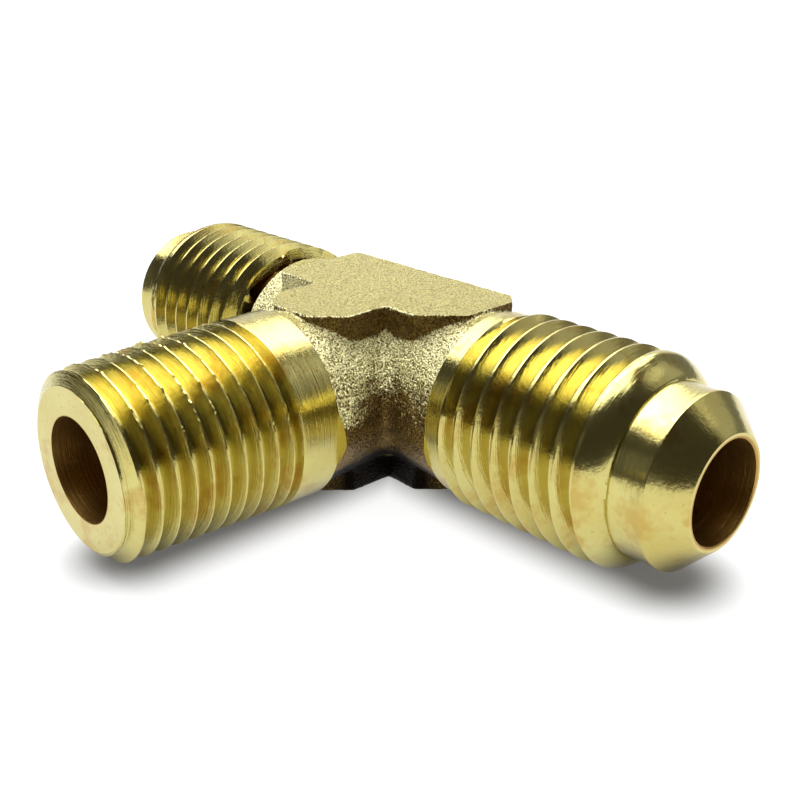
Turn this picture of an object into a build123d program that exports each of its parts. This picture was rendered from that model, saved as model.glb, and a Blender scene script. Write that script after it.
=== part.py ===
"""Brass branch tee: two 45 degree flare ends on the run and a taper pipe thread on the branch.

The three axes meet at the origin. The run lies along X, the branch points along -Y and +Z is up.
The real tee is one forging, so each node here is a region of it as it was forged or turned, and
neighbouring regions meet face to face. All sizes are in millimetres.
"""

import os
from math import atan, degrees, radians, tan

from build123d import *

# Run ends, for 1/4 inch tube: 7/16-20 UNF thread, round shoulder, neck and 45 degree seat
RUN_TIP = 22.8
RUN_PITCH = 25.4 / 20
RUN_CREST_R = 25.4 * 7 / 16 / 2
RUN_DEPTH = 0.6134 * RUN_PITCH
RUN_THREAD_START = 9.7
RUN_TURNS = 6.9
RUN_SHOULDER = 18.15
SHOULDER_BULGE = 0.16
RUN_BORE_R = 2.65
SEAT_TIP_R = 2.95
SEAT_BASE_R = 4.5
NECK_START = 19.4
NECK_R = 4.5
NECK_SAG = 0.06

# The right thread starts beyond a plain collar, the left one at the edge of a relief ring
COLLAR_R = 5.25
COLLAR_CHAMFER = 0.35
RELIEF_R = 4.55
RELIEF_END = 9.12

# Branch end: 1/8-27 NPT, tapered 1 in 16 on the diameter
BRANCH_TIP = 20.5
BRANCH_PITCH = 25.4 / 27
BRANCH_CREST_TIP_R = 4.99
BRANCH_DEPTH = 0.8 * BRANCH_PITCH
BRANCH_HALF_TAPER = 1 / 32
BRANCH_FACE_R = 4.25
BRANCH_BEVEL = 0.4
BRANCH_THREAD_END = 11.2
BRANCH_BORE_R = 2.75
DRILL_POINT = 118

# Both threads: flats left at the crest and the root, as shares of the pitch
CREST_FLAT = 0.10
ROOT_FLAT = 0.12
TOOL_CLEARANCE = 0.08
SEAM = 90

# Forging between the turned ends
WAIST_R = 4.8
WAIST_HALF = 4.6
FORGED_END_R = 5.0
RIGHT_FORGED_END = 8.3
LEFT_FORGED_END = 8.1
BRANCH_FORGED_END = 8.4
PAD_Z = 5.2
PAD_RUN_HALF = 3.2
PAD_BRANCH_HALF = 3.1
PAD_RIGHT_END = 7.4
PAD_LEFT_END = 6.6
PAD_BRANCH_END = 7.4
PAD_RIGHT_CHAMFER = 2.1
PAD_BACK_CHAMFER = 0.9
PAD_LEFT_CHAMFER = 0.3
PAD_BRANCH_CHAMFER = 1.6

TO_RIGHT = Plane(origin=(0, 0, 0), x_dir=(0, 0, 1), z_dir=(1, 0, 0))
TO_LEFT = Plane(origin=(0, 0, 0), x_dir=(0, 0, 1), z_dir=(-1, 0, 0))
TO_BRANCH = Plane(origin=(0, 0, 0), x_dir=(0, 0, 1), z_dir=(0, -1, 0))


def turned(outline):
    """Solid of revolution about +Z from (height, radius) points, the last point closing on the first."""
    section = make_face(Polyline([(r, 0, h) for h, r in outline], close=True))
    return revolve(section, Axis.Z, 360)


def groove(pitch, depth, crest_r, start, length, cone=0.0):
    """Tool for a helical V groove about +Z, of the given depth below a crest radius taken at its start."""
    half_root = ROOT_FLAT * pitch / 2
    half_crest = (1 - CREST_FLAT) * pitch / 2
    half_past = half_crest + TOOL_CLEARANCE * (half_crest - half_root) / depth
    root_r = crest_r - depth
    path = Edge.make_helix(pitch, length, root_r, center=(0, 0, start), angle=cone)
    profile = Polyline(
        (0, -half_root),
        (0, half_root),
        (depth + TOOL_CLEARANCE, half_past),
        (depth + TOOL_CLEARANCE, -half_past),
        close=True,
    )
    at_start = Plane(origin=(root_r, 0, start), x_dir=(1, 0, 0), z_dir=(0, -1, 0))
    return sweep(at_start * make_face(profile), path=path, is_frenet=True)


def cut_thread(blank, tool):
    """Blank less the groove tool, with the blank turned so that its seam is clear of the tool's edges."""
    return Rot(0, 0, SEAM) * blank - tool


def run_thread(low, foot, start):
    """Thread and round shoulder of a run end, along +Z, on a foot given as (radius, height) points."""
    middle = ((RUN_CREST_R + NECK_R) / 2 + SHOULDER_BULGE, (RUN_SHOULDER + NECK_START) / 2 + SHOULDER_BULGE)
    with BuildPart() as blank:
        with BuildSketch(Plane.XZ):
            with BuildLine():
                Polyline(
                    (NECK_R, NECK_START),
                    (RUN_BORE_R, NECK_START),
                    (RUN_BORE_R, low),
                    *foot,
                    (RUN_CREST_R, RUN_SHOULDER),
                )
                ThreePointArc((RUN_CREST_R, RUN_SHOULDER), middle, (NECK_R, NECK_START))
            make_face()
        revolve(axis=Axis.Z)
    length = RUN_THREAD_START + RUN_TURNS * RUN_PITCH - start
    return cut_thread(blank.part, groove(RUN_PITCH, RUN_DEPTH, RUN_CREST_R, start, length))


def right_thread():
    """Right run end's plain collar and thread, along +Z."""
    collar_end = RUN_THREAD_START - COLLAR_CHAMFER
    foot = [(COLLAR_R, RIGHT_FORGED_END), (COLLAR_R, collar_end), (RUN_CREST_R, RUN_THREAD_START)]
    return run_thread(RIGHT_FORGED_END, foot, RUN_THREAD_START)


def left_thread():
    """Left run end's relief ring and thread, along +Z."""
    foot = [(RELIEF_R, LEFT_FORGED_END), (RELIEF_R, RELIEF_END), (RUN_CREST_R, RELIEF_END)]
    return run_thread(LEFT_FORGED_END, foot, RUN_THREAD_START - RUN_PITCH)


def run_seat():
    """Neck and 45 degree flare seat of a run end, along +Z."""
    base = RUN_TIP - (SEAT_BASE_R - SEAT_TIP_R)
    middle = (NECK_R - NECK_SAG, (NECK_START + base) / 2)
    with BuildPart() as seat:
        with BuildSketch(Plane.XZ):
            with BuildLine():
                ThreePointArc((NECK_R, NECK_START), middle, (SEAT_BASE_R, base))
                Polyline(
                    (SEAT_BASE_R, base),
                    (SEAT_TIP_R, RUN_TIP),
                    (RUN_BORE_R, RUN_TIP),
                    (RUN_BORE_R, NECK_START),
                    (NECK_R, NECK_START),
                )
            make_face()
        revolve(axis=Axis.Z)
    return seat.part


def branch_end():
    """Collar and taper pipe thread of the branch, along +Z."""

    def crest_r(height):
        return BRANCH_CREST_TIP_R + BRANCH_HALF_TAPER * (BRANCH_TIP - height)

    blank = turned(
        [
            (BRANCH_FORGED_END, BRANCH_BORE_R),
            (BRANCH_FORGED_END, crest_r(BRANCH_THREAD_END)),
            (BRANCH_THREAD_END, crest_r(BRANCH_THREAD_END)),
            (BRANCH_TIP - BRANCH_BEVEL, crest_r(BRANCH_TIP - BRANCH_BEVEL)),
            (BRANCH_TIP, BRANCH_FACE_R),
            (BRANCH_TIP, BRANCH_BORE_R),
        ]
    )
    thread_length = BRANCH_TIP + BRANCH_PITCH - BRANCH_THREAD_END
    tool = groove(
        BRANCH_PITCH,
        BRANCH_DEPTH,
        crest_r(BRANCH_THREAD_END),
        BRANCH_THREAD_END,
        thread_length,
        cone=-degrees(atan(BRANCH_HALF_TAPER)),
    )
    return cut_thread(blank, tool)


def forged_arm(length):
    """Round forged arm along +Z, waisted at the centre of the tee."""
    return turned(
        [(0, 0), (0, WAIST_R), (WAIST_HALF, WAIST_R), (length, FORGED_END_R), (length, 0)]
    )


def wrench_pads():
    """T-shaped block whose flat top and bottom stand clear of the round forging."""
    corners = [
        (PAD_RIGHT_END - PAD_BACK_CHAMFER, PAD_RUN_HALF),
        (PAD_RIGHT_END, PAD_RUN_HALF - PAD_BACK_CHAMFER),
        (PAD_RIGHT_END, -PAD_RUN_HALF + PAD_RIGHT_CHAMFER),
        (PAD_RIGHT_END - PAD_RIGHT_CHAMFER, -PAD_RUN_HALF),
        (PAD_BRANCH_HALF, -PAD_RUN_HALF),
        (PAD_BRANCH_HALF, -PAD_BRANCH_END + PAD_BRANCH_CHAMFER),
        (PAD_BRANCH_HALF - PAD_BRANCH_CHAMFER, -PAD_BRANCH_END),
        (-PAD_BRANCH_HALF + PAD_BRANCH_CHAMFER, -PAD_BRANCH_END),
        (-PAD_BRANCH_HALF, -PAD_BRANCH_END + PAD_BRANCH_CHAMFER),
        (-PAD_BRANCH_HALF, -PAD_RUN_HALF),
        (-PAD_LEFT_END + PAD_LEFT_CHAMFER, -PAD_RUN_HALF),
        (-PAD_LEFT_END, -PAD_RUN_HALF + PAD_LEFT_CHAMFER),
        (-PAD_LEFT_END, PAD_RUN_HALF - PAD_LEFT_CHAMFER),
        (-PAD_LEFT_END + PAD_LEFT_CHAMFER, PAD_RUN_HALF),
    ]
    return extrude(make_face(Polyline(corners, close=True)), PAD_Z, both=True)


def forged_body():
    """Forged centre with its cross bores, up to the turned collars."""
    arms = TO_RIGHT * forged_arm(RIGHT_FORGED_END) + TO_LEFT * forged_arm(LEFT_FORGED_END)
    tee = arms + TO_BRANCH * forged_arm(BRANCH_FORGED_END)
    body = tee + wrench_pads()
    run_bore = Cylinder(RUN_BORE_R, 2 * RIGHT_FORGED_END, rotation=(0, 90, 0))
    point = BRANCH_BORE_R / tan(radians(DRILL_POINT / 2))
    branch_bore = TO_BRANCH * turned(
        [(-point, 0), (0, BRANCH_BORE_R), (BRANCH_FORGED_END, BRANCH_BORE_R), (BRANCH_FORGED_END, 0)]
    )
    return body - run_bore - branch_bore


def build():
    seat = run_seat()
    return {
        "forged_tee_body": forged_body(),
        "flare_thread_right": TO_RIGHT * right_thread(),
        "flare_thread_left": TO_LEFT * left_thread(),
        "flare_seat_right": TO_RIGHT * seat,
        "flare_seat_left": TO_LEFT * seat,
        "branch_pipe_end": TO_BRANCH * branch_end(),
    }


os.makedirs("parts", exist_ok=True)
for node, shape in build().items():
    export_step(shape, f"parts/{node}.step")
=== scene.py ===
"""Looks of the brass branch tee: turned flare ends and pipe thread on a shot-blasted forging."""

from math import cos, pi, radians, sin, tan

import bmesh
import bpy
import numpy as np
import openvdb
from mathutils import Matrix, Vector, noise


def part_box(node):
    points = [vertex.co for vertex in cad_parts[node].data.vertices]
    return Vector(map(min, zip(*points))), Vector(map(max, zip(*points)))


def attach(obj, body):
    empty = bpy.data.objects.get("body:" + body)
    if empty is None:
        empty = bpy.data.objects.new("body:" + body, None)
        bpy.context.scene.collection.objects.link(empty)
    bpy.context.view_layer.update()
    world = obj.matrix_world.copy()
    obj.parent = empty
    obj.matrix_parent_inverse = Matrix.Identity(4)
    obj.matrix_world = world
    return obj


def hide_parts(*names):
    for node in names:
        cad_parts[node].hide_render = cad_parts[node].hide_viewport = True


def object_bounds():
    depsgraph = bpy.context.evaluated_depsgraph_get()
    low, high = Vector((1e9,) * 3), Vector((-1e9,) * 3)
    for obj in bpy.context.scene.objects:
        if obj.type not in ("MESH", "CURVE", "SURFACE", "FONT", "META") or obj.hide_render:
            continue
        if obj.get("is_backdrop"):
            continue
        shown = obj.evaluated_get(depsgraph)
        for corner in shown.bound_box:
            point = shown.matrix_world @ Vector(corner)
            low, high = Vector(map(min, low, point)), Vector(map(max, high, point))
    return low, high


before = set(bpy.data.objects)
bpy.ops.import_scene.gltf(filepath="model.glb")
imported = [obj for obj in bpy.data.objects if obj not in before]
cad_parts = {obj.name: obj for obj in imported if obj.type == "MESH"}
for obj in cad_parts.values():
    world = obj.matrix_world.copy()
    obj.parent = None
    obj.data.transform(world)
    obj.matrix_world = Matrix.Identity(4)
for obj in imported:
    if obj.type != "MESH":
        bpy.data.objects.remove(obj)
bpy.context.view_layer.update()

MM = 0.001
UP = Vector((0, 0, 1))
RIGHT = Vector((1, 0, 0))
LEFT = Vector((-1, 0, 0))
BRANCH = Vector((0, -1, 0))

# Sizes in millimetres. Heights run outwards along each arm from the point where the axes cross.
RIGHT_FORGED_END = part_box("flare_thread_right")[0].x / MM
LEFT_FORGED_END = -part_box("flare_thread_left")[1].x / MM
RUN_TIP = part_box("flare_seat_right")[1].x / MM
NECK_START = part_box("flare_seat_right")[0].x / MM
BRANCH_FORGED_END = -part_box("branch_pipe_end")[1].y / MM
BRANCH_TIP = -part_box("branch_pipe_end")[0].y / MM
PAD_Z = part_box("forged_tee_body")[1].z / MM

RUN_PITCH = 25.4 / 20
RUN_CREST_R = 25.4 * 7 / 16 / 2
RUN_DEPTH = 0.6134 * RUN_PITCH
RUN_THREAD_START = 9.7
RUN_TURNS = 6.9
RUN_SHOULDER = 18.15
RUN_BORE_R = 2.65
SEAT_TIP_R = 2.95
SEAT_BASE_R = 4.5
NECK_R = 4.5
NECK_SAG = 0.06

COLLAR_R = 5.25
RELIEF_R = 4.55
RELIEF_END = 9.12

BRANCH_PITCH = 25.4 / 27
BRANCH_CREST_TIP_R = 4.99
BRANCH_DEPTH = 0.8 * BRANCH_PITCH
BRANCH_HALF_TAPER = 1 / 32
BRANCH_FACE_R = 4.25
BRANCH_BEVEL = 0.4
BRANCH_THREAD_END = 11.2
BRANCH_BORE_R = 2.75

CREST_FLAT = 0.09
ROOT_FLAT = 0.12

WAIST_R = 4.8
WAIST_HALF = 4.6
FORGED_END_R = 5.0
PAD_RUN_HALF = 3.2
PAD_BRANCH_HALF = 3.1
PAD_RIGHT_END = 7.4
PAD_LEFT_END = 6.6
PAD_BRANCH_END = 7.4
PAD_RIGHT_CHAMFER = 2.1
PAD_BACK_CHAMFER = 0.9
PAD_LEFT_CHAMFER = 0.3
PAD_BRANCH_CHAMFER = 1.6

# Where the mesh differs from the plain sizes above
SHOULDER_ROUNDNESS = 1.3
COLLAR_FLARE = (9.25, 9.65)
RELIEF_EDGE = (RELIEF_END - 0.03, RELIEF_END + 0.05)
ROOT_ROUNDNESS = 0.012
RUN_OUT_TURNS = 0.2
RUN_IN_LENGTH = 0.9
NO_STOP = 99
CREST_BLEND = 0.015
BEVEL_BLEND = 0.05
BURR_HEIGHT = 0.15
ARM_BLEND = 0.7
PAD_BLEND = 0.15
GRAIN_MARGIN = 0.8
HALF_DRILL_ANGLE = 59
DRILL_LENGTH = 12

# The floor's painted shadow: middle and half length under each line of arms, and its soft edge
PAINTED_SHADOW_RUN = (0.0, 20.0)
PAINTED_SHADOW_BRANCH = (-9.5, 8.5)
PAINTED_SHADOW_REACH = (1.0, 4.8)

# Where the looks change on the part
# Inside this radius the bores get a darker colour, a painted shade, and a rougher surface
BORE_COLOUR_R = BRANCH_BORE_R + 0.04
# Painted shade, dark brown, in the left arm's relief groove
RELIEF_SHADE = (-RELIEF_END + 0.02, -LEFT_FORGED_END + 0.15)
RELIEF_SHADE_R = 5.0
# The pad's left notch, whose wall is kept free of the painted shade
NOTCH_X = -2.8
NOTCH_Z = 3.3
# Nearly black painted shade low in the front corner between the right arm and the branch: its reach in plan
# and its heights
CORNER_SHADE = (1.8, 2.8)
CORNER_SHADE_Z = (-2.4, -3.1)
FACED_DEPTH = 0.004

# Resolution
COLUMNS = 400
VOXEL = 0.092
SHARP_ANGLE = 28
FORGING_SHARP_ANGLE = 50


# ---------------------------------------------------------------- mesh helpers


def new_piece(name, points, faces):
    """Object from points in millimetres and faces, shaded smooth except across sharp edges."""
    mesh = bpy.data.meshes.new(name)
    mesh.from_pydata((np.asarray(points, float) * MM).tolist(), [], faces)
    bm = bmesh.new()
    bm.from_mesh(mesh)
    bmesh.ops.remove_doubles(bm, verts=bm.verts, dist=2e-7)
    bmesh.ops.dissolve_degenerate(bm, edges=bm.edges, dist=1e-8)
    bmesh.ops.recalc_face_normals(bm, faces=bm.faces)
    bm.to_mesh(mesh)
    bm.free()
    mesh.shade_smooth()
    mesh.set_sharp_from_angle(angle=radians(SHARP_ANGLE))
    piece = bpy.data.objects.new(name, mesh)
    bpy.context.scene.collection.objects.link(piece)
    return piece


def along(axis, height, radius, turn):
    """Points at a height along an axis, a radius from it and a turn about it, counted from +Z."""
    side = axis.cross(UP)
    height, radius, turn = np.broadcast_arrays(height, radius, turn)
    up_part, side_part = radius * np.cos(turn), radius * np.sin(turn)
    return np.stack([height * a + up_part * u + side_part * s for a, u, s in zip(axis, UP, side)], -1)


def smooth_step(low, high, x):
    share = np.clip((x - low) / (high - low), 0, 1)
    return share * share * (3 - 2 * share)


def soft_min(a, b, reach):
    blend = np.clip(reach - np.abs(a - b), 0, None) / reach
    return np.minimum(a, b) - blend * blend * reach / 4


def wobble(seed, count, sharpness):
    """Repeatable random curve around one turn, from -1 to 1, with a number of waves."""
    random = np.random.default_rng(seed)
    turn = np.linspace(0, 2 * pi, COLUMNS, endpoint=False)
    curve = sum(
        random.normal() * np.cos(k * turn + random.uniform(0, 2 * pi)) / k**sharpness
        for k in range(1, count)
    )
    return curve / np.abs(curve).max()


# ---------------------------------------------------------------- threaded ends


def thread_phases():
    """Places across one pitch, from groove centre to groove centre, close together at the edges."""
    root = ROOT_FLAT / 2
    crest = 0.5 - CREST_FLAT / 2
    flank = [root + (crest - root) * s for s in (0.0, 0.06, 0.13, 0.22, 0.4, 0.65, 0.9, 1.0)]
    half = [0.0] + flank + [0.5]
    return np.array(half + [1 - u for u in reversed(half[1:-1])])


def thread_height(phase):
    """Share of the thread's depth at a phase: 0 on the rounded root, 1 on the crest."""
    fold = np.abs((phase + 0.5) % 1 - 0.5)
    root = ROOT_FLAT / 2
    crest = 0.5 - CREST_FLAT / 2
    share = np.clip((fold - root) / (crest - root), 0, 1)
    lowest, highest = np.sqrt(ROOT_ROUNDNESS), np.sqrt(1 + ROOT_ROUNDNESS)
    return (np.sqrt(share**2 + ROOT_ROUNDNESS) - lowest) / (highest - lowest)


def threaded_end(
    name, axis, low, high, bore_r, pitch, depth, start, run_in, stop, blank, crest_r, burr
):
    """Closed solid with a helical thread outside and a bore inside.

    Rows follow the thread's own helix, so that its crest and root edges stay sharp, and a row meets
    the row one pitch further on after each turn. The groove deepens between the two heights of the
    run-in, and runs out just before the stop, which is a number of turns from the start.
    """
    phases = thread_phases()
    per_pitch = len(phases)
    first = -int(np.ceil((start - low) / pitch)) - 1
    last = int(np.ceil((high - start) / pitch)) + 1
    turns = np.repeat(np.arange(first, last), per_pitch) + np.tile(phases, last - first)
    rows = len(turns)
    turn = np.linspace(0, 2 * pi, COLUMNS, endpoint=False)
    height = start + pitch * (turns[:, None] + turn[None, :] / (2 * pi))
    lift = 1 - smooth_step(run_in[0], run_in[1], height)
    turned_so_far = np.round(turns[:, None]) + turn[None, :] / (2 * pi)
    lift = depth * np.maximum(lift, smooth_step(stop - RUN_OUT_TURNS, stop, turned_so_far))
    profile = thread_height(turns[:, None])
    groove = crest_r(height) - depth * (1 - profile) + lift
    radius = soft_min(blank(height), groove, CREST_BLEND)
    on_crest = (profile > 0.97) & (lift <= 0) & (blank(height) >= crest_r(height) - 0.01)
    radius = radius + np.where(on_crest, burr(turns[:, None], turn[None, :]), 0)
    height = np.clip(height, low, high)
    inside = np.clip(height, low + 1e-4, high - 1e-4) != height
    radius = np.where(inside, blank(height), radius)
    outer = along(axis, height, radius, turn[None, :])
    bore = [along(axis, h, bore_r, turn) for h in np.linspace(high, low, 6)]
    points = np.concatenate([outer.reshape(-1, 3)] + bore)

    def spot(row, column):
        if column < COLUMNS:
            return row * COLUMNS + column
        if row < rows:
            row = min(row + per_pitch, rows - 1)
        return row * COLUMNS

    total = rows + len(bore)
    faces = [
        (spot(i, j), spot(i + 1, j), spot(i + 1, j + 1), spot(i, j + 1))
        for i in range(total - 1)
        for j in range(COLUMNS)
    ]
    base = (total - 1) * COLUMNS
    faces += [(base + j, j, (j + 1) % COLUMNS, base + (j + 1) % COLUMNS) for j in range(COLUMNS)]
    return new_piece(name, points, faces)


def shouldered(foot, height):
    """Outside radius of a run end before its thread is cut: its foot, then the round shoulder."""
    share = np.clip((height - RUN_SHOULDER) / (NECK_START - RUN_SHOULDER), 0, 1)
    fall = (1 - share**SHOULDER_ROUNDNESS) ** (1 / SHOULDER_ROUNDNESS)
    shoulder = NECK_R + (RUN_CREST_R - NECK_R) * fall
    return np.minimum(foot, shoulder)


def right_blank(height):
    """Plain collar, then the thread."""
    foot = COLLAR_R + (RUN_CREST_R - COLLAR_R) * smooth_step(*COLLAR_FLARE, height)
    return shouldered(foot, height)


def left_blank(height):
    """Relief ring, then the thread."""
    foot = RELIEF_R + (RUN_CREST_R - RELIEF_R) * smooth_step(*RELIEF_EDGE, height)
    return shouldered(foot, height)


def run_crest(height):
    return RUN_CREST_R + 0 * height


def branch_crest(height):
    return BRANCH_CREST_TIP_R + BRANCH_HALF_TAPER * (BRANCH_TIP - height)


def branch_blank(height):
    """Outside radius of the branch end before its thread is cut."""
    plain = np.minimum(branch_crest(height), branch_crest(BRANCH_THREAD_END))
    slope = (BRANCH_CREST_TIP_R - BRANCH_FACE_R) / BRANCH_BEVEL
    return soft_min(plain, BRANCH_FACE_R + slope * (BRANCH_TIP - height), BEVEL_BLEND)


def no_burr(turns, turn):
    return 0 * (turns + turn)


def torn_burr(turns, turn):
    """Ragged lift of a crest where the tool tore it, mostly over the top."""
    ragged = np.stack([np.clip(wobble(int(t) + 50, 70, 0.3), 0, 1) ** 1.6 for t in turns[:, 0]])
    top = smooth_step(-0.2, 0.7, np.cos(turn))
    return BURR_HEIGHT * ragged * top


# ---------------------------------------------------------------- flare seats


def revolved(name, axis, outline):
    """Closed ring from (height, radius) points that go once round its section."""
    turn = np.linspace(0, 2 * pi, COLUMNS, endpoint=False)
    points = np.concatenate([along(axis, h, r, turn) for h, r in outline])
    count = len(outline)
    faces = [
        (
            i * COLUMNS + j,
            (i + 1) % count * COLUMNS + j,
            (i + 1) % count * COLUMNS + (j + 1) % COLUMNS,
            i * COLUMNS + (j + 1) % COLUMNS,
        )
        for i in range(count)
        for j in range(COLUMNS)
    ]
    return new_piece(name, points, faces)


def seat_outline():
    """Section of a flare seat: slightly concave neck, ridge, 45 degree cone, thin rim and bore."""
    cone = SEAT_BASE_R - SEAT_TIP_R
    base = RUN_TIP - cone
    outline = [(NECK_START, RUN_BORE_R), (NECK_START, NECK_R - 0.04)]
    for step in range(1, 20):
        share = step / 20
        sag = NECK_SAG * 4 * share * (1 - share)
        radius = NECK_R + (SEAT_BASE_R - NECK_R) * share - sag
        outline.append((NECK_START + (base - NECK_START) * share, radius))
    outline += [(base - 0.02, SEAT_BASE_R - 0.01), (base + 0.03, SEAT_BASE_R - 0.02)]
    outline += [(base + cone * s, SEAT_BASE_R - cone * s) for s in (0.3, 0.6)]
    outline += [(RUN_TIP - 0.04, SEAT_TIP_R + 0.04), (RUN_TIP, SEAT_TIP_R - 0.03)]
    outline += [(RUN_TIP, RUN_BORE_R + 0.06), (RUN_TIP - 0.06, RUN_BORE_R)]
    return outline


# ---------------------------------------------------------------- forging


def cylinder_gap(across, up, radius):
    return np.hypot(across, up) - radius


def forged_radius(distance, up, end, swelling, middle):
    """Radius of a forged arm: a waist near the centre, and a swelling along the parting line."""
    flare = (FORGED_END_R - WAIST_R) * smooth_step(WAIST_HALF - 0.5, end, distance)
    swell = swelling * np.exp(-(((up - middle) / 1.6) ** 2)) * smooth_step(WAIST_HALF, end, distance)
    return WAIST_R + flare + swell


def pad_corners():
    """Corners in plan of the T-shaped wrench pad."""
    half_run, half_branch = PAD_RUN_HALF, PAD_BRANCH_HALF
    return [
        (PAD_RIGHT_END - PAD_BACK_CHAMFER, half_run),
        (PAD_RIGHT_END, half_run - PAD_BACK_CHAMFER),
        (PAD_RIGHT_END, -half_run + PAD_RIGHT_CHAMFER),
        (PAD_RIGHT_END - PAD_RIGHT_CHAMFER, -half_run),
        (half_branch, -half_run),
        (half_branch, -PAD_BRANCH_END + PAD_BRANCH_CHAMFER),
        (half_branch - PAD_BRANCH_CHAMFER, -PAD_BRANCH_END),
        (-half_branch + PAD_BRANCH_CHAMFER, -PAD_BRANCH_END),
        (-half_branch, -PAD_BRANCH_END + PAD_BRANCH_CHAMFER),
        (-half_branch, -half_run),
        (-PAD_LEFT_END + PAD_LEFT_CHAMFER, -half_run),
        (-PAD_LEFT_END, -half_run + PAD_LEFT_CHAMFER),
        (-PAD_LEFT_END, half_run - PAD_LEFT_CHAMFER),
        (-PAD_LEFT_END + PAD_LEFT_CHAMFER, half_run),
    ]


def polygon_gap(x, y, corners):
    """Signed distance in plan from points to a polygon, negative inside."""
    nearest = np.full(np.broadcast(x, y).shape, 1e9)
    inside = np.zeros(nearest.shape, bool)
    for (ax, ay), (bx, by) in zip(corners, corners[1:] + corners[:1]):
        dx, dy = bx - ax, by - ay
        share = np.clip(((x - ax) * dx + (y - ay) * dy) / (dx * dx + dy * dy), 0, 1)
        nearest = np.minimum(nearest, np.hypot(x - ax - share * dx, y - ay - share * dy))
        if dy:
            inside ^= ((ay > y) != (by > y)) & (x < ax + (y - ay) * dx / dy)
    return np.where(inside, -nearest, nearest)


def forging_grid():
    """Signed distance to the forging on a grid, in millimetres."""
    low = np.array([-LEFT_FORGED_END, -BRANCH_FORGED_END, -PAD_Z - 0.4]) - GRAIN_MARGIN
    high = np.array([RIGHT_FORGED_END, RUN_CREST_R + 0.4, PAD_Z + 0.4]) + GRAIN_MARGIN
    ticks = [np.arange(a, b, VOXEL, dtype=np.float32) for a, b in zip(low, high)]
    x, y, z = np.meshgrid(*ticks, indexing="ij", sparse=True)
    run = cylinder_gap(y, z, forged_radius(np.abs(x), z, RIGHT_FORGED_END, 0.42, -1.2))
    branch = cylinder_gap(x, z, forged_radius(-y, z, BRANCH_FORGED_END, 0.75, -0.5))
    tee = soft_min(run, np.maximum(branch, y - 1), ARM_BLEND)
    pad = np.maximum(polygon_gap(x, y, pad_corners()), np.abs(z) - PAD_Z) + 0 * tee
    return soft_min(tee, pad, PAD_BLEND).astype(np.float32), low


def grain(point):
    """Shot-blasted unevenness at a point of the forging, in millimetres."""
    coarse = noise.fractal(point * 1.1, 1.0, 2.0, 3)
    fine = noise.noise(point * 5.0)
    return 0.035 * coarse + 0.014 * fine


def forging():
    """The forging with crisp machined ends and its crossing bores."""
    gap, low = forging_grid()
    grid = openvdb.FloatGrid()
    grid.copyFromArray(gap)
    spots, quads = grid.convertToQuads(isovalue=0.0)
    points = spots * VOXEL + low
    mesh = bpy.data.meshes.new("forging")
    mesh.from_pydata((points * MM).tolist(), [], quads.tolist())
    bm = bmesh.new()
    bm.from_mesh(mesh)
    bmesh.ops.recalc_face_normals(bm, faces=bm.faces)
    for _ in range(2):
        bmesh.ops.smooth_vert(
            bm, verts=bm.verts, factor=0.5, use_axis_x=True, use_axis_y=True, use_axis_z=True
        )
    bm.normal_update()
    for vert in bm.verts:
        vert.co += vert.normal * grain(vert.co / MM) * MM
    ends = ((RIGHT, RIGHT_FORGED_END), (LEFT, LEFT_FORGED_END), (BRANCH, BRANCH_FORGED_END))
    for axis, end in ends:
        cut = bmesh.ops.bisect_plane(
            bm,
            geom=bm.verts[:] + bm.edges[:] + bm.faces[:],
            plane_co=axis * end * MM,
            plane_no=axis,
            clear_outer=True,
        )
        rim = [e for e in cut["geom_cut"] if isinstance(e, bmesh.types.BMEdge)]
        bmesh.ops.contextual_create(bm, geom=rim)
    bmesh.ops.recalc_face_normals(bm, faces=bm.faces)
    bm.to_mesh(mesh)
    bm.free()
    piece = bpy.data.objects.new("forged_tee_body_blasted", mesh)
    bpy.context.scene.collection.objects.link(piece)
    cut_bores(piece)
    piece.data.shade_smooth()
    piece.data.set_sharp_from_angle(angle=radians(FORGING_SHARP_ANGLE))
    return piece


def cut_bores(piece):
    """Drill the run bore and the branch bore through a piece."""
    reach, run_r, branch_r = DRILL_LENGTH, RUN_BORE_R, BRANCH_BORE_R
    run = revolved("run_drill", RIGHT, [(-reach, 0.0), (-reach, run_r), (reach, run_r), (reach, 0.0)])
    tip = -branch_r / tan(radians(HALF_DRILL_ANGLE))
    branch = revolved("branch_drill", BRANCH, [(tip, 0.0), (0, branch_r), (reach, branch_r), (reach, 0.0)])
    for drill in (run, branch):
        cut = piece.modifiers.new("bore", "BOOLEAN")
        cut.operation = "DIFFERENCE"
        cut.solver = "EXACT"
        cut.object = drill
    graph = bpy.context.evaluated_depsgraph_get()
    drilled = bpy.data.meshes.new_from_object(piece.evaluated_get(graph))
    piece.modifiers.clear()
    old = piece.data
    old.name = "old"
    piece.data = drilled
    bpy.data.meshes.remove(old)
    for drill in (run, branch):
        bpy.data.objects.remove(drill)


# ---------------------------------------------------------------- materials


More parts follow.
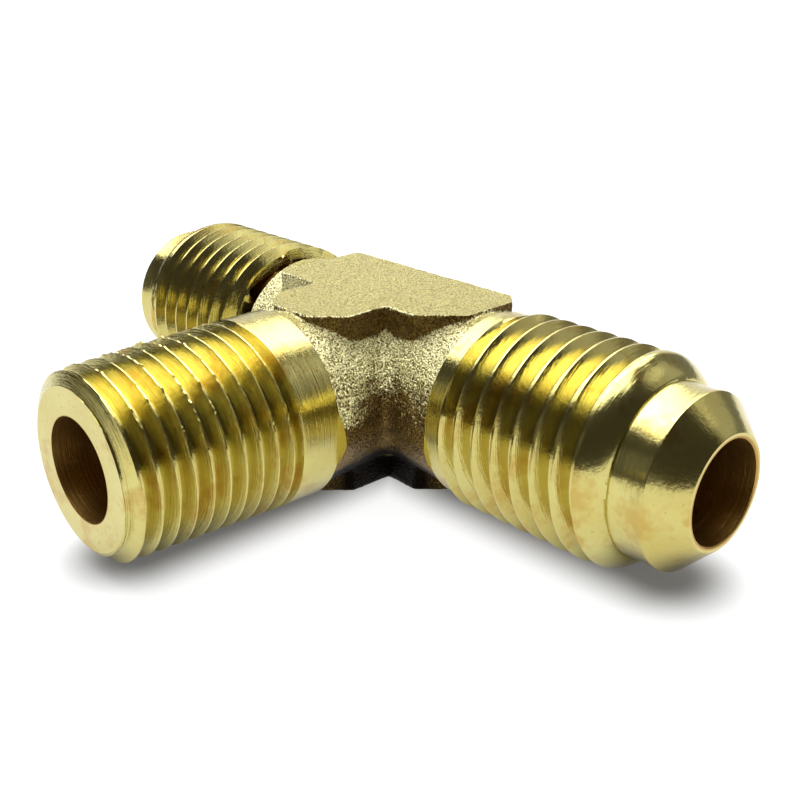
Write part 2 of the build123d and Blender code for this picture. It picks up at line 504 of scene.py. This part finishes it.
class Nodes:
    """Short way to add and join shader nodes."""

    def __init__(self, name):
        self.material = bpy.data.materials.new(name)
        self.material.use_nodes = True
        self.tree = self.material.node_tree
        self.shader = self.tree.nodes["Principled BSDF"]

    def add(self, kind, values=None, **settings):
        node = self.tree.nodes.new("ShaderNode" + kind)
        for key, value in settings.items():
            setattr(node, key, value)
        for key, value in (values or {}).items():
            self.feed(node.inputs[key], value)
        return node

    def feed(self, socket, value):
        if isinstance(value, bpy.types.NodeSocket):
            self.tree.links.new(value, socket)
        else:
            socket.default_value = value

    def math(self, operation, a, b=0.0):
        node = self.add("Math", operation=operation)
        self.feed(node.inputs[0], a)
        self.feed(node.inputs[1], b)
        return node.outputs[0]

    def mix(self, share, a, b):
        node = self.add("Mix", {0: share, 6: a, 7: b}, data_type="RGBA")
        return node.outputs[2]

    def noise(self, vector, scale, detail, roughness):
        values = {"Vector": vector, "Scale": scale, "Detail": detail, "Roughness": roughness}
        return self.add("TexNoise", values).outputs["Fac"]

    def between(self, value, low, high):
        """1 where a value lies between two bounds, otherwise 0."""
        above = self.math("GREATER_THAN", value, low)
        return self.math("MULTIPLY", above, self.math("LESS_THAN", value, high))

    def rise(self, value, low, high):
        """Straight rise from 0 at the low value to 1 at the high one."""
        return self.add("MapRange", {"Value": value, "From Min": low, "From Max": high}).outputs["Result"]

    def bump(self, height, strength, depth, normal=None):
        """Normal bumped by a height from 0 to 1, of a depth in millimetres, over an earlier normal."""
        values = {"Strength": strength, "Distance": depth * MM, "Height": height}
        if normal:
            values["Normal"] = normal
        return self.add("Bump", values).outputs[0]

    def length(self, a, b):
        return self.math("SQRT", self.math("ADD", self.math("MULTIPLY", a, a), self.math("MULTIPLY", b, b)))

    def ramp(self, share, stops):
        node = self.add("ValToRGB", {"Fac": share})
        for index, (place, value) in enumerate(stops):
            stop = node.color_ramp.elements[index] if index < 2 else node.color_ramp.elements.new(place)
            stop.position = place
            stop.color = (value, value, value, 1)
        return node.outputs["Color"]


def turned_look(n, place, long, wide):
    """Colour, roughness and normal of lathe-turned brass, in fine rings round an axis."""
    deep = n.add("SeparateXYZ", {0: place}).outputs[2]
    radius = n.length(wide, deep)
    across = n.math("MULTIPLY", wide, 0.02)
    up = n.math("MULTIPLY", deep, 0.02)
    ring = n.add("CombineXYZ", {0: n.math("ADD", long, radius), 1: across, 2: up}).outputs[0]
    fine = n.noise(ring, 14000, 3.0, 0.7)
    broad = n.noise(ring, 2600, 2.0, 0.6)
    stain = n.noise(place, 300, 4.0, 0.6)
    speck = n.noise(place, 5200, 2.0, 0.6)

    colour = n.mix(n.ramp(stain, [(0.35, 0), (0.7, 1)]), (0.60, 0.54, 0.20, 1), (0.54, 0.45, 0.135, 1))
    colour = n.mix(n.ramp(speck, [(0.66, 0), (0.74, 0.5)]), colour, (0.30, 0.22, 0.06, 1))
    amber = n.ramp(n.noise(place, 520, 3.0, 0.6), [(0.54, 0), (0.66, 0.55)])
    colour = n.mix(amber, colour, (0.46, 0.28, 0.055, 1))
    # Inside the bores: a darker colour as painted shade, and a rougher surface below
    inside = n.math("LESS_THAN", radius, BORE_COLOUR_R * MM)
    colour = n.mix(inside, colour, (0.48, 0.29, 0.075, 1))
    # Painted shade in the relief groove of the left arm
    relief = n.between(long, RELIEF_SHADE[0] * MM, RELIEF_SHADE[1] * MM)
    relief = n.math("MULTIPLY", relief, n.math("LESS_THAN", radius, RELIEF_SHADE_R * MM))
    colour = n.mix(relief, colour, (0.16, 0.09, 0.03, 1))

    rough = n.math("ADD", n.math("MULTIPLY", broad, 0.14), n.math("MULTIPLY", speck, 0.12))
    rough = n.math("ADD", n.math("ADD", rough, 0.05), n.math("MULTIPLY", inside, 0.2))
    normal = n.bump(fine, 0.75, 0.02)
    normal = n.bump(broad, 0.35, 0.05, normal)
    normal = n.bump(speck, 0.25, 0.03, normal)
    return colour, rough, normal


def turned_brass(name, axis):
    """Bright brass from the lathe round the run or the branch."""
    n = Nodes(name)
    place = n.add("TexCoord").outputs["Object"]
    x, y, _ = n.add("SeparateXYZ", {0: place}).outputs
    long, wide = (x, y) if axis == "X" else (y, x)
    colour, rough, normal = turned_look(n, place, long, wide)
    n.feed(n.shader.inputs["Base Color"], colour)
    n.shader.inputs["Metallic"].default_value = 1.0
    n.feed(n.shader.inputs["Roughness"], rough)
    n.feed(n.shader.inputs["Normal"], normal)
    return n.material


def forged_brass():
    """Matt, shot-blasted forging: tight bright pits, smooth only where the lathe faced its ends."""
    n = Nodes("forged_brass_blasted")
    place = n.add("TexCoord").outputs["Object"]
    x, y, z = n.add("SeparateXYZ", {0: place}).outputs
    pits = n.noise(place, 9000, 2.0, 0.6)
    dents = n.add("TexVoronoi", {"Vector": place, "Scale": 8000.0}, feature="F1").outputs["Distance"]
    patch = n.noise(place, 260, 3.0, 0.5)

    # The flat pads, then the slopes beside them in a brighter copy of the colour, a painted highlight where
    # they face the light from above
    colour = n.mix(n.ramp(pits, [(0.38, 0), (0.56, 1)]), (0.20, 0.15, 0.04, 1), (0.52, 0.47, 0.18, 1))
    colour = n.mix(n.ramp(patch, [(0.3, 0), (0.8, 0.3)]), colour, (0.42, 0.35, 0.13, 1))
    facing = n.add("SeparateXYZ", {0: n.add("TexCoord").outputs["Normal"]}).outputs[2]
    bright = n.mix(n.ramp(pits, [(0.40, 0), (0.52, 1)]), (0.22, 0.17, 0.05, 1), (0.98, 0.93, 0.52, 1))
    colour = n.mix(n.ramp(facing, [(0.90, 1), (0.98, 0)]), colour, bright)

    # Steep faces get a painted shade of brown, except in the pad's left notch, and a nearly black painted
    # shade low in the front corner
    facing = n.math("ADD", facing, n.math("MULTIPLY", n.math("SUBTRACT", pits, 0.5), 0.8))
    steep = n.math("MULTIPLY", n.ramp(facing, [(0.27, 1), (0.52, 0)]), n.math("GREATER_THAN", facing, -0.85))
    in_notch = n.math("LESS_THAN", x, NOTCH_X * MM)
    in_notch = n.math("MULTIPLY", in_notch, n.math("GREATER_THAN", z, NOTCH_Z * MM))
    steep = n.math("MULTIPLY", steep, n.math("SUBTRACT", 1.0, n.math("MULTIPLY", in_notch, 0.85)))
    brown = n.mix(n.ramp(pits, [(0.38, 0), (0.58, 1)]), (0.09, 0.055, 0.014, 1), (0.34, 0.22, 0.06, 1))
    # Random darker patches within the painted shade of the steep faces
    dark_patches = n.ramp(n.noise(place, 1100, 3.0, 0.7), [(0.36, 0.6), (0.60, 0)])
    brown = n.mix(dark_patches, brown, (0.05, 0.03, 0.009, 1))
    # Painted shade, nearly black, low in the front corner between the right arm and the branch
    toward_branch = n.math("MULTIPLY", y, -1.0)
    corner = n.rise(n.math("MINIMUM", x, toward_branch), CORNER_SHADE[0] * MM, CORNER_SHADE[1] * MM)
    height = n.math("ADD", z, n.math("MULTIPLY", n.math("SUBTRACT", patch, 0.5), 0.002))
    low = n.rise(height, CORNER_SHADE_Z[0] * MM, CORNER_SHADE_Z[1] * MM)
    brown = n.mix(n.math("MULTIPLY", corner, low), brown, (0.008, 0.005, 0.003, 1))
    colour = n.mix(steep, colour, brown)

    turned, _, _ = turned_look(n, place, x, y)
    right_face = n.math("GREATER_THAN", x, (RIGHT_FORGED_END - FACED_DEPTH) * MM)
    left_face = n.math("LESS_THAN", x, (FACED_DEPTH - LEFT_FORGED_END) * MM)
    branch_face = n.math("GREATER_THAN", toward_branch, (BRANCH_FORGED_END - FACED_DEPTH) * MM)
    faced = n.math("MAXIMUM", n.math("MAXIMUM", branch_face, right_face), left_face)
    blasted = n.math("SUBTRACT", 1.0, faced)
    n.feed(n.shader.inputs["Base Color"], n.mix(faced, colour, turned))
    n.shader.inputs["Metallic"].default_value = 1.0
    n.feed(n.shader.inputs["Roughness"], n.math("ADD", n.math("MULTIPLY", blasted, 0.20), 0.15))
    normal = n.bump(pits, n.math("MULTIPLY", blasted, 1.0), 0.15)
    normal = n.bump(dents, n.math("MULTIPLY", blasted, 0.8), 0.06, normal)
    n.feed(n.shader.inputs["Normal"], normal)
    return n.material


def dress(piece, material, node):
    """Give a piece its material and let it stand for a CAD node."""
    piece.data.materials.clear()
    piece.data.materials.append(material)
    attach(piece, "root")
    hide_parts(node)


# ---------------------------------------------------------------- pieces


def build_pieces():
    """Every piece with its material. The left groove has its full depth from the forging on."""
    brass_x = turned_brass("turned_brass_run", "X")
    brass_y = turned_brass("turned_brass_branch", "Y")
    right_run_in = (RUN_THREAD_START - RUN_IN_LENGTH, RUN_THREAD_START)
    left_run_in = (LEFT_FORGED_END - 0.2, LEFT_FORGED_END)
    branch_run_in = (BRANCH_THREAD_END - RUN_IN_LENGTH, BRANCH_THREAD_END)
    ends = (
        ("right", RIGHT, RIGHT_FORGED_END, right_blank, right_run_in),
        ("left", LEFT, LEFT_FORGED_END, left_blank, left_run_in),
    )
    for side, axis, low, blank, run_in in ends:
        thread = threaded_end(
            f"flare_thread_{side}_turned", axis, low, NECK_START, RUN_BORE_R, RUN_PITCH, RUN_DEPTH,
            RUN_THREAD_START, run_in, RUN_TURNS, blank, run_crest, no_burr,
        )
        dress(thread, brass_x, f"flare_thread_{side}")
        seat = revolved(f"flare_seat_{side}_turned", axis, seat_outline())
        dress(seat, brass_x, f"flare_seat_{side}")
    pipe = threaded_end(
        "branch_pipe_end_turned", BRANCH, BRANCH_FORGED_END, BRANCH_TIP, BRANCH_BORE_R, BRANCH_PITCH,
        BRANCH_DEPTH, BRANCH_THREAD_END, branch_run_in, NO_STOP, branch_blank, branch_crest, torn_burr,
    )
    dress(pipe, brass_y, "branch_pipe_end")
    dress(forging(), forged_brass(), "forged_tee_body")


# ---------------------------------------------------------------- floor, light and camera


def floor(lowest):
    """White floor that glows, with a painted shadow: its glow is turned down near the arms, where the part
    would keep the light off it.
    """
    side = 1.6
    mesh = bpy.data.meshes.new("floor")
    corners = [(x * side, y * side, lowest) for x, y in ((-1, -1), (1, -1), (1, 1), (-1, 1))]
    mesh.from_pydata(corners, [], [(0, 1, 2, 3)])
    plane = bpy.data.objects.new("floor", mesh)
    bpy.context.scene.collection.objects.link(plane)
    n = Nodes("floor_white")
    x, y, _ = n.add("SeparateXYZ", {0: n.add("TexCoord").outputs["Object"]}).outputs

    def past(value, middle, half):
        """Distance beyond a stretch of an axis."""
        off_middle = n.math("ABSOLUTE", n.math("SUBTRACT", value, middle * MM))
        return n.math("MAXIMUM", n.math("SUBTRACT", off_middle, half * MM), 0.0)

    run = n.length(y, past(x, *PAINTED_SHADOW_RUN))
    branch = n.length(x, past(y, *PAINTED_SHADOW_BRANCH))
    corner = n.math("MULTIPLY", n.math("ADD", n.math("ABSOLUTE", x), n.math("ABSOLUTE", y)), 0.5)
    near = n.math("MINIMUM", n.math("MINIMUM", run, branch), corner)
    low, high = (reach * MM for reach in PAINTED_SHADOW_REACH)
    # Painted shadow: the floor's glow drops near the arms
    glow = n.add(
        "MapRange",
        {"Value": near, "From Min": low, "From Max": high, "To Min": 0.12, "To Max": 0.93},
        interpolation_type="SMOOTHSTEP",
    ).outputs["Result"]
    n.shader.inputs["Base Color"].default_value = (0.2, 0.2, 0.2, 1)
    n.shader.inputs["Roughness"].default_value = 0.9
    n.shader.inputs["Specular IOR Level"].default_value = 0.0
    n.shader.inputs["Emission Color"].default_value = (1, 1, 1, 1)
    n.feed(n.shader.inputs["Emission Strength"], glow)
    mesh.materials.append(n.material)
    plane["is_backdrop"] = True


def area_light(name, spot, aim, size, radiance, spread=180):
    """Rectangular light at a spot, turned to an aim, of a size in metres."""
    light = bpy.data.lights.new(name, "AREA")
    light.shape = "RECTANGLE"
    light.size, light.size_y = size
    light.spread = radians(spread)
    light.energy = radiance * pi * size[0] * size[1]
    lamp = bpy.data.objects.new(name, light)
    lamp.location = spot
    lamp.rotation_euler = (aim - spot).to_track_quat("-Z", "Y").to_euler()
    lamp.visible_camera = False
    bpy.context.scene.collection.objects.link(lamp)


def softbox(name, azimuth, elevation, distance, size, radiance):
    """Square-on light seen from the part at an azimuth from +X and an elevation, in degrees."""
    az, el = radians(azimuth), radians(elevation)
    spot = Vector((cos(az) * cos(el), sin(az) * cos(el), sin(el))) * distance
    area_light(name, spot, Vector((0, 0, 0)), size, radiance)


def room():
    """Window light from behind and above, a pale wall behind, and darkness on the viewer's side.

    The reflector is a small card close behind the part that brightens only the left end.
    """
    world = bpy.data.worlds.new("room")
    world.use_nodes = True
    world.node_tree.nodes["Background"].inputs[0].default_value = (0.055, 0.05, 0.045, 1)
    world.node_tree.nodes["Background"].inputs[1].default_value = 1.0
    bpy.context.scene.world = world
    softbox("window", 150, 56, 1.2, (1.8, 1.0), 4.0)
    softbox("wall", 130, 13, 1.3, (1.1, 0.58), 0.95)
    softbox("roof", 150, 88, 1.6, (1.4, 1.4), 3.2)
    softbox("lamp", 56, 44, 1.2, (0.42, 0.40), 0.6)
    softbox("far_wall", 80, 20, 1.5, (2.0, 1.0), 0.18)
    softbox("card", 48, 29, 0.097, (0.06, 0.05), 0.32)
    left_end = Vector((-16, 0, 4)) * MM
    area_light("reflector", Vector((3.7, 17.7, 18.0)) * MM, left_end, (0.026, 0.022), 0.15, 80)
    softbox("side", -125, 20, 1.2, (0.6, 0.5), 0.15)


def camera():
    """Camera at the photograph's angle, its place and target in millimetres."""
    azimuth, elevation, roll = radians(47.5), radians(22.6), radians(-0.49)
    distance = 61.34
    target = Vector((4.22, -3.23, 0.0))
    focal_share = 1103.7 / 800
    back = Vector((sin(azimuth) * cos(elevation), -cos(azimuth) * cos(elevation), sin(elevation)))
    right = UP.cross(back).normalized()
    up = back.cross(right)
    right, up = right * cos(roll) + up * sin(roll), up * cos(roll) - right * sin(roll)
    lens = bpy.data.cameras.new("camera")
    lens.sensor_width = 36
    lens.lens = focal_share * lens.sensor_width
    lens.clip_start = 0.001
    lens.clip_end = 10
    eye = bpy.data.objects.new("camera", lens)
    turned = Matrix((right, up, back)).transposed().to_4x4()
    eye.matrix_world = Matrix.Translation((target + back * distance) * MM) @ turned
    bpy.context.scene.collection.objects.link(eye)
    bpy.context.scene.camera = eye


build_pieces()
floor(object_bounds()[0][2])
room()
camera()
bpy.context.scene.view_settings.view_transform = "Standard"
